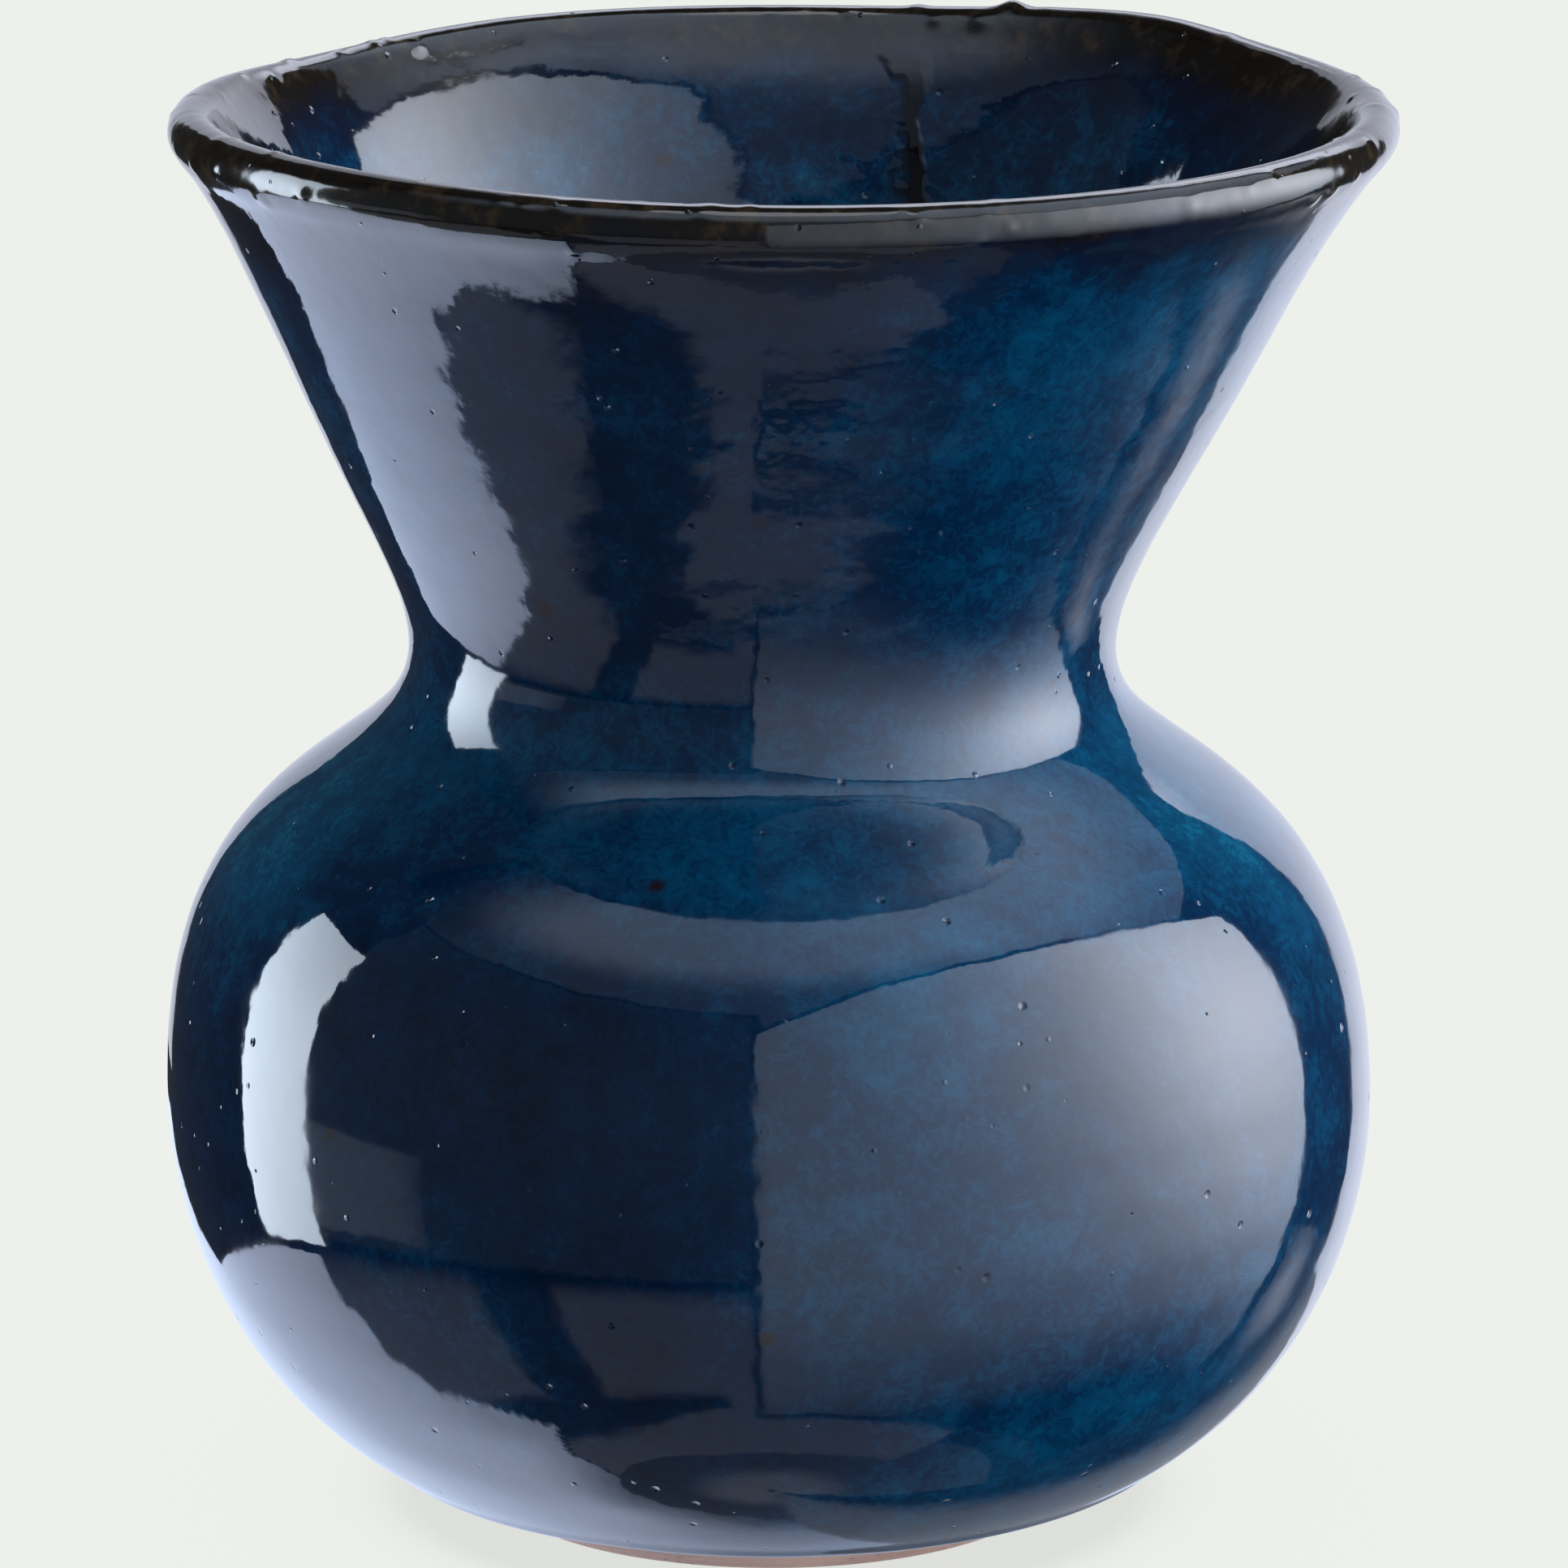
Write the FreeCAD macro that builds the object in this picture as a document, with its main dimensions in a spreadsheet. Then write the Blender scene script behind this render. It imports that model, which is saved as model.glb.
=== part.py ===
"""A thrown stoneware flower vase: one fired clay body and the three glaze coats fused to it.

The vase is round about Z. Its section in the XZ plane runs from the bare clay foot, over a full
belly, in to a tight waist and out along a flare to a rounded lip. The outside of the finished vase
is the master outline. Every other surface in the wall (clay under the outer coat, clay under the
liner, the finished inside) is that outline moved inwards by a depth, so the coats and the clay
meet face to face whatever size is changed.

Each stretch of the outline is a cubic curve between two stations: the glaze edge, the belly, the
waist, the middle of the flare and the edge of the rim band. The waist, and the belly on its upper
side, are upright and have a stated bend (radius of curvature), to which the depth is added or from
which it is taken, so the wall stays even round the neck. Shares set how the other curves fill the
space between their two stations, so they follow when a station moves.

Origin: the middle of the foot, on the surface that the vase stands on. +Z is up. Millimetres.
"""
import FreeCAD, Part
import math
import os
import Sketcher

SHEET = "Sizes"

# The driving sizes, in millimetres and degrees: angles of the rim are from the upright, and the
# angle of the glaze edge is from the level. Then the shares, which are plain ratios.
SIZES = {
    "vase_height": 155.0,
    "lip_radius": 63.1,
    "rim_angle": 36.0,
    "rim_pull": 7.5,
    "rim_band": 4.5,
    "waist_radius": 38.3,
    "waist_height": 95.6,
    "waist_bend": 12.6,
    "belly_radius": 65.8,
    "belly_height": 46.2,
    "belly_bend": 81.0,
    "glaze_edge_radius": 42.0,
    "glaze_edge_height": 5.0,
    "glaze_edge_angle": 27.7,
    "foot_radius": 31.0,
    "foot_ring_width": 7.0,
    "foot_hollow_depth": 2.0,
    "foot_hollow_draft": 1.5,
    "foot_round": 0.8,
    "wall": 5.3,
    "coat": 0.5,
    "floor": 8.0,
    "floor_radius": 24.0,
    # The flare's middle station: how far out and up it is from the waist to the lip, its slope
    # against the straight line from waist to lip, and its handles against the neck's height.
    "flare_out_share": 0.371,
    "flare_up_share": 0.382,
    "flare_slope_share": 1.24,
    "flare_pull_share": 0.2,
    # Handles below the belly: at the glaze edge and at the floor against the width out to the
    # belly, and under the belly, outside and inside, against the height up to the belly.
    "glaze_edge_pull_share": 0.74,
    "belly_pull_share": 0.40,
    "floor_pull_share": 0.70,
    "bowl_pull_share": 0.42,
}

# The space between waist and lip, and the flare's lean from the upright, as expressions.
NECK_WIDTH = "(Sizes.lip_radius - Sizes.waist_radius)"
NECK_RISE = "(Sizes.vase_height - Sizes.waist_height)"
FLARE_LEAN = f"atan(Sizes.flare_slope_share * {NECK_WIDTH} / {NECK_RISE})"

# Depths of the four surfaces in the wall, as expressions.
FINISHED_OUTSIDE = "0"
CLAY_OUTSIDE = "Sizes.coat"
CLAY_INSIDE = "(Sizes.wall - Sizes.coat)"
FINISHED_INSIDE = "Sizes.wall"

# Vertices of a sketch element, and the sketch's own axes.
START, END, CENTRE = 1, 2, 3
LEVEL_AXIS, UPRIGHT_AXIS = -1, -2


def bend_pull(bend, reach):
    """Handle of an upright station, as an expression: a cubic curve whose far handle ends `reach`
    to the side has the radius of curvature `bend` at the station."""
    return f"sqrt(2 / 3 * ({bend}) * ({reach}))"


def beside(point, across, up):
    """A point moved by two expressions."""
    return (f"{point[0]} + {across}", f"{point[1]} + {up}")


class Outline:
    """The section's line at one depth inside the finished outer surface.

    Every point is a pair of expressions: its distance from the axis, and its height.
    """

    def __init__(self, depth):
        self.depth = depth
        self.set_stations()
        self.set_floor()
        self.set_handles()

    def set_stations(self):
        """The points that the line goes through, from the glaze edge up to the lip."""
        depth = self.depth
        lip_round = f"(Sizes.wall / 2 - {depth})"
        self.edge = (
            f"Sizes.glaze_edge_radius - {depth} * sin(Sizes.glaze_edge_angle)",
            f"Sizes.glaze_edge_height + {depth} * cos(Sizes.glaze_edge_angle)",
        )
        self.belly = (f"Sizes.belly_radius - {depth}", "Sizes.belly_height")
        self.waist = (f"Sizes.waist_radius - {depth}", "Sizes.waist_height")
        self.flare = (
            f"Sizes.waist_radius + Sizes.flare_out_share * {NECK_WIDTH} - {depth} * cos({FLARE_LEAN})",
            f"Sizes.waist_height + Sizes.flare_up_share * {NECK_RISE} + {depth} * sin({FLARE_LEAN})",
        )
        self.lip_centre = ("Sizes.lip_radius", "Sizes.vase_height - Sizes.wall / 2")
        self.lip_side = beside(
            self.lip_centre, f"{lip_round} * cos(Sizes.rim_angle)", f"-{lip_round} * sin(Sizes.rim_angle)")
        self.band_edge = beside(
            self.lip_side, "-Sizes.rim_band * sin(Sizes.rim_angle)", "-Sizes.rim_band * cos(Sizes.rim_angle)")

    def set_floor(self):
        """Inside, the line ends on a flat floor."""
        top = f"Sizes.foot_hollow_depth + Sizes.floor - Sizes.wall + {self.depth}"
        self.floor_centre = ("0", top)
        self.floor_edge = ("Sizes.floor_radius", top)
        self.floor_handle = beside(
            self.floor_edge, "Sizes.floor_pull_share * (Sizes.belly_radius - Sizes.floor_radius)", "0")

    def set_handles(self):
        """The curves' handles, which set the slope and the bend at each station."""
        edge_pull = "Sizes.glaze_edge_pull_share * (Sizes.belly_radius - Sizes.glaze_edge_radius)"
        self.edge_handle = beside(
            self.edge, f"{edge_pull} * cos(Sizes.glaze_edge_angle)",
            f"{edge_pull} * sin(Sizes.glaze_edge_angle)")
        flare_pull = f"Sizes.flare_pull_share * {NECK_RISE}"
        self.under_flare = beside(
            self.flare, f"-{flare_pull} * sin({FLARE_LEAN})", f"-{flare_pull} * cos({FLARE_LEAN})")
        self.over_flare = beside(
            self.flare, f"{flare_pull} * sin({FLARE_LEAN})", f"{flare_pull} * cos({FLARE_LEAN})")
        self.under_band = beside(
            self.band_edge, "-Sizes.rim_pull * sin(Sizes.rim_angle)", "-Sizes.rim_pull * cos(Sizes.rim_angle)")

        neck_step = f"{self.belly[0]} - ({self.waist[0]})"
        flare_step = f"{self.under_flare[0]} - ({self.waist[0]})"
        belly_bend = f"Sizes.belly_bend - {self.depth}"
        waist_bend = f"Sizes.waist_bend + {self.depth}"
        outside = "Sizes.belly_pull_share * (Sizes.belly_height - Sizes.glaze_edge_height)"
        inside = f"Sizes.bowl_pull_share * (Sizes.belly_height - ({self.floor_edge[1]}))"
        self.under_belly = beside(self.belly, "0", f"-{outside}")
        self.under_belly_inside = beside(self.belly, "0", f"-{inside}")
        self.over_belly = beside(self.belly, "0", bend_pull(belly_bend, neck_step))
        self.under_waist = beside(self.waist, "0", f"-{bend_pull(waist_bend, neck_step)}")
        self.over_waist = beside(self.waist, "0", bend_pull(waist_bend, flare_step))

    def neck_spans(self):
        """Belly up to the edge of the rim band."""
        return [
            [self.belly, self.over_belly, self.under_waist, self.waist],
            [self.waist, self.over_waist, self.under_flare, self.flare],
            [self.flare, self.over_flare, self.under_band, self.band_edge],
        ]

    def outer_spans(self):
        """Glaze edge up to the edge of the rim band, for the outside of the vase."""
        return [[self.edge, self.edge_handle, self.under_belly, self.belly]] + self.neck_spans()

    def inner_spans(self):
        """Floor up to the edge of the rim band, for the inside of the vase."""
        return [[self.floor_edge, self.floor_handle, self.under_belly_inside, self.belly]] + self.neck_spans()


def downwards(spans):
    """The same spans, drawn from the top down."""
    return [list(reversed(span)) for span in reversed(spans)]


class Section:
    """A closed sketch in a body's XZ plane, drawn piece by piece from its first point."""

    def __init__(self, body, name, first_point):
        self.sketch = body.newObject("Sketcher::SketchObject", name)
        plane = next(item for item in body.Origin.OriginFeatures if item.Role == "XZ_Plane")
        self.sketch.AttachmentSupport = [(plane, "")]
        self.sketch.MapMode = "FlatFace"
        self.last_point = first_point
        self.first_vertex = None
        self.last_vertex = None

    def locate(self, point):
        """Where a pair of expressions puts a point now."""
        across, up = (float(self.sketch.evalExpression(text)) for text in point)
        return FreeCAD.Vector(across, up, 0)

    def constrain(self, *words):
        return self.sketch.addConstraint(Sketcher.Constraint(*words))

    def bind(self, direction, vertex, distance, expression):
        """A distance from the sketch's origin, bound to an expression."""
        index = self.constrain(direction, LEVEL_AXIS, START, *vertex, distance)
        self.sketch.setExpression(f"Constraints[{index}]", expression)

    def pin(self, vertex, point):
        """Tie a vertex to its pair of expressions; a plain 0 lays it on that axis."""
        here = self.locate(point)
        if point[0] == "0":
            self.constrain("PointOnObject", *vertex, UPRIGHT_AXIS)
        else:
            self.bind("DistanceX", vertex, here.x, point[0])
        if point[1] == "0":
            self.constrain("PointOnObject", *vertex, LEVEL_AXIS)
        else:
            self.bind("DistanceY", vertex, here.y, point[1])

    def join(self, element, start=START, end=END):
        """Start an element where the section has got to, and go on from its end."""
        if self.last_vertex is None:
            self.first_vertex = (element, start)
            self.pin(self.first_vertex, self.last_point)
        else:
            self.constrain("Coincident", *self.last_vertex, element, start)
        self.last_vertex = (element, end)

    def line_to(self, point):
        """A straight line to a point."""
        ends = (self.locate(self.last_point), self.locate(point))
        line = self.sketch.addGeometry(Part.LineSegment(*ends), False)
        self.join(line)
        self.pin(self.last_vertex, point)
        self.last_point = point

    def close(self):
        """A straight line back to the first point."""
        point = self.sketch.getPoint(*self.first_vertex)
        line = self.sketch.addGeometry(Part.LineSegment(self.locate(self.last_point), point), False)
        self.join(line)
        self.constrain("Coincident", *self.last_vertex, *self.first_vertex)

    def curve_through(self, poles):
        """A cubic curve on four poles, from where the section has got to."""
        points = [self.locate(pole) for pole in poles]
        shape = Part.BSplineCurve()
        shape.buildFromPolesMultsKnots(points, [4, 4], [0, 1], False, 3)
        curve = self.sketch.addGeometry(shape, False)
        weights = []
        for index, point in enumerate(points):
            weight = self.sketch.addGeometry(Part.Circle(point, FreeCAD.Vector(0, 0, 1), 1), True)
            if weights:
                self.constrain("Equal", weights[0], weight)
            else:
                self.constrain("Weight", weight, 1.0)
            weights.append(weight)
            self.constrain("InternalAlignment:Sketcher::BSplineControlPoint", weight, CENTRE, curve, index)
        self.join(curve)
        for weight, pole in zip(weights[1:], poles[1:]):
            self.pin((weight, CENTRE), pole)
        self.last_point = poles[-1]

    def follow(self, spans):
        for poles in spans:
            self.curve_through(poles)

    def over_lip(self, outline, start=START, end=END):
        """The half round of the lip at the outline's depth. It runs from the outside to the
        inside, or the other way with its ends swapped."""
        centre = self.locate(outline.lip_centre)
        side = self.locate(outline.lip_side)
        turn = math.atan2(side.y - centre.y, side.x - centre.x)
        circle = Part.Circle(centre, FreeCAD.Vector(0, 0, 1), centre.distanceToPoint(side))
        arc = self.sketch.addGeometry(Part.ArcOfCircle(circle, turn, turn + math.pi), False)
        self.pin((arc, CENTRE), outline.lip_centre)
        self.join(arc, start, end)

    def end_lip_at(self, point):
        """Fix how far round the lip's arc goes, by the height of its end."""
        self.bind("DistanceY", self.last_vertex, self.locate(point).y, point[1])
        self.last_point = point


def make_sheet(doc):
    """The spreadsheet of driving sizes: name in column A, value in column B."""
    sheet = doc.addObject("Spreadsheet::Sheet", SHEET)
    for row, (name, value) in enumerate(SIZES.items(), start=1):
        sheet.set(f"A{row}", name)
        sheet.set(f"B{row}", str(value))
        sheet.setAlias(f"B{row}", name)
    doc.recompute()


def turn(body, section):
    """Turn a closed section once round Z."""
    revolution = body.newObject("PartDesign::Revolution", f"{body.Name}_turned")
    revolution.Profile = section.sketch
    revolution.ReferenceAxis = (section.sketch, ["V_Axis"])
    revolution.Angle = 360
    section.sketch.Visibility = False
    return revolution


def lip_ends(outline):
    """The two ends of the lip's half round: outer side, then inner side, straight across."""
    across = f"2 * ({outline.lip_centre[0]}) - ({outline.lip_side[0]})"
    up = f"2 * ({outline.lip_centre[1]}) - ({outline.lip_side[1]})"
    return outline.lip_side, (across, up)


def make_clay_body(doc):
    """Foot, floor, wall and lip in one piece of clay, with the edges of the foot ring softened."""
    body = doc.addObject("PartDesign::Body", "clay_body")
    outer, inner = Outline(CLAY_OUTSIDE), Outline(CLAY_INSIDE)
    hollow_rim = "Sizes.foot_radius - Sizes.foot_ring_width"
    lip_start, lip_end = lip_ends(outer)

    section = Section(body, "clay_section", ("0", "Sizes.foot_hollow_depth"))
    section.line_to((f"{hollow_rim} - Sizes.foot_hollow_draft", "Sizes.foot_hollow_depth"))
    section.line_to((hollow_rim, "0"))
    section.line_to(("Sizes.foot_radius", "0"))
    section.line_to(outer.edge)
    section.follow(outer.outer_spans())
    section.line_to(lip_start)
    section.over_lip(outer)
    section.end_lip_at(lip_end)
    section.line_to(inner.band_edge)
    section.follow(downwards(inner.inner_spans()))
    section.line_to(inner.floor_centre)
    section.close()
    turned = turn(body, section)
    doc.recompute()

    foot = body.newObject("PartDesign::Fillet", "foot_softened")
    foot.Base = (turned, foot_ring_edges(turned.Shape))
    foot.Radius = SIZES["foot_round"]
    foot.setExpression("Radius", "Sizes.foot_round")
    body.Tip = foot
    return body


def foot_ring_edges(shape):
    """Names of the two circles in the plane that the vase stands on."""
    names = []
    for index, edge in enumerate(shape.Edges, start=1):
        box = edge.BoundBox
        if abs(box.ZMax) < 1e-6 and abs(box.ZMin) < 1e-6:
            names.append(f"Edge{index}")
    return names


def make_outer_glaze(doc):
    """The coat outside, from its edge above the bare foot up to the rim band."""
    body = doc.addObject("PartDesign::Body", "outer_glaze")
    finished, clay = Outline(FINISHED_OUTSIDE), Outline(CLAY_OUTSIDE)
    section = Section(body, "outer_glaze_section", finished.edge)
    section.follow(finished.outer_spans())
    section.line_to(clay.band_edge)
    section.follow(downwards(clay.outer_spans()))
    section.close()
    turn(body, section)
    return body


def make_rim_glaze(doc):
    """The band of iron-brown coat over the lip, down to its edges outside and inside."""
    body = doc.addObject("PartDesign::Body", "rim_glaze")
    finished, clay = Outline(FINISHED_OUTSIDE), Outline(CLAY_OUTSIDE)
    inner_clay, inner_finished = Outline(CLAY_INSIDE), Outline(FINISHED_INSIDE)
    finished_start, finished_end = lip_ends(finished)
    clay_start, clay_end = lip_ends(clay)
    section = Section(body, "rim_glaze_section", finished.band_edge)
    section.line_to(finished_start)
    section.over_lip(finished)
    section.end_lip_at(finished_end)
    section.line_to(inner_finished.band_edge)
    section.line_to(inner_clay.band_edge)
    section.line_to(clay_end)
    section.over_lip(clay, END, START)
    section.end_lip_at(clay_start)
    section.line_to(clay.band_edge)
    section.close()
    turn(body, section)
    return body


def make_liner_glaze(doc):
    """The coat inside, from the rim band down the wall and over the floor."""
    body = doc.addObject("PartDesign::Body", "liner_glaze")
    clay, finished = Outline(CLAY_INSIDE), Outline(FINISHED_INSIDE)
    section = Section(body, "liner_glaze_section", finished.band_edge)
    section.follow(downwards(finished.inner_spans()))
    section.line_to(finished.floor_centre)
    section.line_to(clay.floor_centre)
    section.line_to(clay.floor_edge)
    section.follow(clay.inner_spans())
    section.close()
    turn(body, section)
    return body


def check(doc, bodies):
    """Stop if anything in the document failed, or a body has no sound solid."""
    for item in doc.Objects:
        if {"Invalid", "Error"} & set(item.State):
            raise RuntimeError(f"{item.Name} failed: {item.State}")
    for body in bodies:
        shape = body.Shape
        if shape.isNull() or not shape.isValid() or len(shape.Solids) != 1:
            raise RuntimeError(f"{body.Label} has no single sound solid")


def main():
    doc = FreeCAD.newDocument("flower_vase")
    make_sheet(doc)
    makers = (make_clay_body, make_outer_glaze, make_rim_glaze, make_liner_glaze)
    bodies = [maker(doc) for maker in makers]
    doc.recompute()
    check(doc, bodies)
    os.makedirs("parts", exist_ok=True)
    for body in bodies:
        body.Shape.exportStep(f"parts/{body.Label}.step")
        box = body.Shape.BoundBox
        print(f"{body.Label}: {body.Shape.Volume:.0f} mm3, z {box.ZMin:.2f} to {box.ZMax:.2f},"
              f" width {box.XLength:.2f}")


main()
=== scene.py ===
# %% [markdown]
# # A hand-thrown flower vase in dark blue glaze
#
# The vase is one pot of stoneware clay with three glaze coats fused to it: the blue coat outside,
# the iron-brown band over the lip and the coat inside. The design file gives four exact, perfectly
# round solids. A thrown pot is never that exact, so this lesson reads the section of each solid
# and turns it again as a slightly uneven surface: the same sizes, with the marks of a hand.

# %% Load the design as a fixed frame
import math

import bpy
import numpy as np
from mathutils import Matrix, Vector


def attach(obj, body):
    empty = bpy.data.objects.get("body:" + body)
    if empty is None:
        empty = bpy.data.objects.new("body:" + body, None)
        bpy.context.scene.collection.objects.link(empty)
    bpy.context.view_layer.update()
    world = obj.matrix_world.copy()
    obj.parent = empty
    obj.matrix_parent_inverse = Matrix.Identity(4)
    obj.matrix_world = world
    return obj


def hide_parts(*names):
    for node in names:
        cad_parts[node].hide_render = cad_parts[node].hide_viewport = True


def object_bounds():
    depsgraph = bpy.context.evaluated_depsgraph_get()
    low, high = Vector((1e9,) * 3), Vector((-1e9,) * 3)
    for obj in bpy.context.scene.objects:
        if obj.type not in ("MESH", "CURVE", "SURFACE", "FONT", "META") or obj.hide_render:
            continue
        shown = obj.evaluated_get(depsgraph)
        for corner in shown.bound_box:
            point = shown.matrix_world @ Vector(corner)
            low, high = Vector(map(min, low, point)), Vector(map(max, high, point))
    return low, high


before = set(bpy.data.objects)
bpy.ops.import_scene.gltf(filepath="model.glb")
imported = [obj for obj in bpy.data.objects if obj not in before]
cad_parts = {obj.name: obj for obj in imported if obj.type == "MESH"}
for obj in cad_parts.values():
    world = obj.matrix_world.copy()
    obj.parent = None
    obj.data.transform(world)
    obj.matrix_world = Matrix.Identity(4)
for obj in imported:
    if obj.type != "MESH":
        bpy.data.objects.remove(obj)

MM = 0.001
bpy.context.view_layer.update()
cad_box = [list(corner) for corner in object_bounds()]
low, high = (np.array(corner) for corner in cad_box)
VASE_TOP = high[2]
print("vase is", np.round((high - low) / MM, 1), "mm")

# %% [markdown]
# ## Reading a section
#
# Each solid was turned about Z, so its mesh has a seam in the XZ half plane, and the seam's points
# lie exactly on the section. Following the seam's edges from point to point gives the section as a
# line of (radius, height). That keeps every size where the design has it, with no numbers copied
# by hand.

# %% The section of a solid, as a line
SEAM_TOLERANCE = 1e-7


def seam_edges(node):
    """The seam of a design node: its points (n, 2) as radius and height, and its edges (m, 2)."""
    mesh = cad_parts[node].data
    vertices = np.empty(len(mesh.vertices) * 3)
    mesh.vertices.foreach_get("co", vertices)
    vertices = vertices.reshape(-1, 3)
    triangles = np.empty(len(mesh.polygons) * 3, dtype=int)
    mesh.polygons.foreach_get("vertices", triangles)
    triangles = triangles.reshape(-1, 3)
    on_seam = (np.abs(vertices[:, 1]) < SEAM_TOLERANCE) & (vertices[:, 0] > -SEAM_TOLERANCE)
    edges = np.vstack([triangles[:, [0, 1]], triangles[:, [1, 2]], triangles[:, [2, 0]]])
    edges = edges[on_seam[edges].all(axis=1)]
    corners = np.round(vertices[:, [0, 2]][edges.ravel()], 7)
    points, index = np.unique(corners, axis=0, return_inverse=True)
    edges = index.reshape(-1, 2)
    return points, edges[edges[:, 0] != edges[:, 1]]


def section_of(node):
    """The node's section as an ordered line (n, 2), walked along the seam from one end.

    A coat that goes all round is closed and starts anywhere; a solid that reaches the axis is open,
    because a flat disc has no points inside it."""
    points, edges = seam_edges(node)
    links = {}
    for a, b in np.vstack([edges, edges[:, ::-1]]):
        links.setdefault(int(a), set()).add(int(b))
    ends = [point for point, near in links.items() if len(near) == 1]
    path = [min(ends) if ends else min(links)]
    while onward := sorted(links[path[-1]] - set(path)):
        path.append(onward[0])
    return points[path]


for node_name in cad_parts:
    line = section_of(node_name)
    print(node_name, "section of", len(line), "points, radius up to", round(line[:, 0].max() / MM, 2), "mm")

# %% [markdown]
# ## Smooth lines through a few points
#
# The section's points are exact but up to a centimetre apart, and a glossy glaze shows every facet.
# A cubic spline goes through the points with no kink in its slope or its bend. The same helper
# draws the slow wander of the pot's axis from a handful of heights.


# %% Natural cubic spline, corners and lengths
def spline(known, values, at):
    """Natural cubic spline: a cubic between each two known places, joined with equal slope and bend,
    with no bend at the two ends. The bends come from the usual tridiagonal equations."""
    known = np.asarray(known, float)
    values = np.asarray(values, float).reshape(len(known), -1)
    step = np.diff(known)
    rise = np.diff(values, axis=0) / step[:, None]
    inner = np.arange(1, len(known) - 1)
    matrix = np.eye(len(known))
    matrix[inner, inner - 1] = step[:-1]
    matrix[inner, inner] = 2 * (step[:-1] + step[1:])
    matrix[inner, inner + 1] = step[1:]
    right = np.zeros_like(values)
    right[1:-1] = 6 * np.diff(rise, axis=0)
    bend = np.linalg.solve(matrix, right)
    at = np.clip(at, known[0], known[-1])
    k = np.clip(np.searchsorted(known, at, side="right") - 1, 0, len(known) - 2)
    after = (at - known[k])[..., None]
    slope = rise[k] - step[k][..., None] * (2 * bend[k] + bend[k + 1]) / 6
    cubic = (bend[k + 1] - bend[k]) / (6 * step[k][..., None])
    result = values[k] + slope * after + bend[k] / 2 * after**2 + cubic * after**3
    return result[..., 0] if result.shape[-1] == 1 else result


def lengths_along(line):
    """Distance along a line to each of its points."""
    return np.concatenate([[0.0], np.cumsum(np.hypot(*np.diff(line, axis=0).T))])


CORNER = math.radians(40)


def sides_of(line, closed):
    """Cut a line at its corners, where it turns by more than CORNER, into smooth open lines."""
    forward = np.roll(line, -1, axis=0) - line
    heading = np.arctan2(forward[:, 1], forward[:, 0])
    turn = np.abs(np.angle(np.exp(1j * (heading - np.roll(heading, 1)))))
    corners = np.flatnonzero(turn > CORNER)
    if closed:
        line = np.roll(line, -corners[0], axis=0)
        line = np.vstack([line, line[:1]])
        corners = np.append(corners - corners[0], len(line) - 1)
    else:
        corners = np.union1d(corners, [0, len(line) - 1])
    return [line[a:b + 1] for a, b in zip(corners[:-1], corners[1:])]


def long_sides(node, closed):
    """The node's two longest smooth sides, the one that reaches further out first."""
    sides = sorted(sides_of(section_of(node), closed), key=lambda side: -lengths_along(side)[-1])[:2]
    return sorted(sides, key=lambda side: -side[:, 0].max())


# %% [markdown]
# ## One finished line from the foot to the floor inside
#
# The three coats meet edge to edge, so their finished sides make one smooth line: up the outside
# from the glaze's lower edge, over the lip, down the inside and across the floor to the axis. All
# three coats are cut from this one line, so that a reflection crosses the joints with no step.

# %% Join the finished sides of the three coats
outer_side = long_sides("outer_glaze", True)[0]
outer_side = outer_side[np.argsort(outer_side[:, 1])]
rim_side = max(sides_of(section_of("rim_glaze"), True), key=lambda side: lengths_along(side)[-1])
if rim_side[0, 0] < rim_side[-1, 0]:
    rim_side = rim_side[::-1]
inner_side = long_sides("liner_glaze", False)[1]
inner_side = inner_side[np.argsort(-inner_side[:, 1])]
floor_centre = [[0.0, inner_side[-1, 1]]]
finished = np.vstack([outer_side, rim_side[1:], inner_side[1:], floor_centre])
finished_lengths = lengths_along(finished)
OUTER_END = finished_lengths[len(outer_side) - 1]
RIM_END = finished_lengths[len(outer_side) + len(rim_side) - 2]
LINE_END = finished_lengths[-1]
COAT = min(lengths_along(side)[-1] for side in sides_of(section_of("outer_glaze"), True))
print("finished line", round(LINE_END / MM, 1), "mm, rim coat from", round(OUTER_END / MM, 1),
      "to", round(RIM_END / MM, 1), "mm, coat", round(COAT / MM, 2), "mm thick")


def finished_at(length):
    """Point (radius, height) and outward normal of the finished line at a length along it.

    The tangent is the difference of two points a hundredth of a millimetre apart, and the normal is
    the tangent turned a quarter to the right. Beyond its ends the line goes straight on."""
    nudge = 0.005 * MM
    inside = np.clip(length, 0, LINE_END)
    tangent = (spline(finished_lengths, finished, inside + nudge)
               - spline(finished_lengths, finished, inside - nudge))
    tangent /= np.linalg.norm(tangent, axis=-1, keepdims=True)
    point = spline(finished_lengths, finished, inside) + (length - inside)[..., None] * tangent
    return point, tangent[..., ::-1] * [1, -1]


# %% [markdown]
# ## The marks of a hand
#
# A thrown pot leans a little, its rim dips and rises, and it is never quite round. One function
# moves every point of every piece in the same way, so clay and coats stay fused together.
#
# - The lean is the axis moved sideways by a smooth line through a few heights.
# - The rim's wave is a few soft humps, each a bell curve of the angle, that fade out below the lip.
# - The dents are slow cosine waves round and up the wall; the throwing ridges are a finer wave.

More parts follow.
